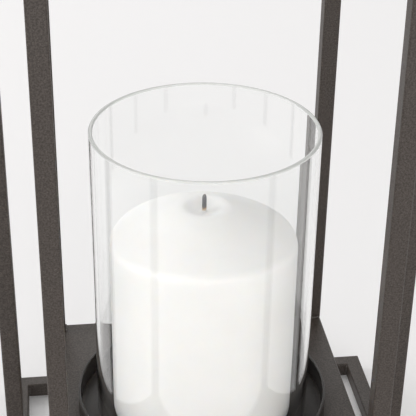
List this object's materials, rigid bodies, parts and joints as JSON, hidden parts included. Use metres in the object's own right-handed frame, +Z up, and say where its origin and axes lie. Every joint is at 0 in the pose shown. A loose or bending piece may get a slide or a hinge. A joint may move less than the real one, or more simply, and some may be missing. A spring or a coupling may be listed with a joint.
{
  "type": "candle lantern",
  "caption": "Tall open square-tube lantern: a cage inside an outer hoop holds a raised tray with a glass cylinder, a pillar candle and a folding handle.",
  "frame": {"origin": "middle of the base ring's footprint, at the underside of the foot pads", "axes": "+Z up, -Y towards the front, +X to the right as seen from the front"},
  "size_m": [0.231, 0.195, 0.4585],
  "materials": {
    "frame_paint": "powder coat, fine matte speckle, dark bronze black",
    "hardware": "blackened steel, satin",
    "pad_rubber": "matte",
    "clear_glass": "clear, fire polished rim",
    "candle_wax": "ivory white paraffin, soft satin",
    "wick_cotton": "braided cotton, charred tip",
    "tinned_steel": "dull tinned sheet"
  },
  "bodies": {
    "lantern_frame": {"base_rail_front": "frame_paint", "base_rail_back": "frame_paint", "base_rail_left": "frame_paint", "base_rail_right": "frame_paint", "foot_pad_front_left": "pad_rubber", "foot_pad_front_right": "pad_rubber", "foot_pad_back_left": "pad_rubber", "foot_pad_back_right": "pad_rubber", "hoop_post_left": "frame_paint", "hoop_post_right": "frame_paint", "top_tie_left": "frame_paint", "top_tie_right": "frame_paint", "cage_post_front_left": "frame_paint", "cage_post_front_right": "frame_paint", "cage_post_back_left": "frame_paint", "cage_post_back_right": "frame_paint", "top_rail_front": "frame_paint", "top_rail_back": "frame_paint", "top_rail_left": "frame_paint", "top_rail_right": "frame_paint", "tray": "frame_paint", "cup_ring": "frame_paint", "handle_bracket_left": "frame_paint", "handle_bracket_right": "frame_paint", "handle_pin_left": "hardware", "handle_pin_right": "hardware", "handle_washer_left": "hardware", "handle_washer_right": "hardware"},
    "handle_body": {"handle": "frame_paint"},
    "glass_body": {"glass_cylinder": "clear_glass"},
    "candle_body": {"candle_wax": "candle_wax", "wick": "wick_cotton", "wick_sustainer": "tinned_steel"}
  },
  "joints": [
    {"name": "handle_swing", "type": "hinge", "parent": "lantern_frame", "child": "handle_body", "pos_m": [0, 0, 0.4538], "axis": [1, 0, 0], "range_deg": [0, 180]},
    {"name": "glass_lift", "type": "slide", "parent": "lantern_frame", "child": "glass_body", "axis": [0, 0, 1], "range_m": [0, 0.41]},
    {"name": "candle_lift", "type": "slide", "parent": "lantern_frame", "child": "candle_body", "axis": [0, 0, 1], "range_m": [0, 0.41]}
  ]
}
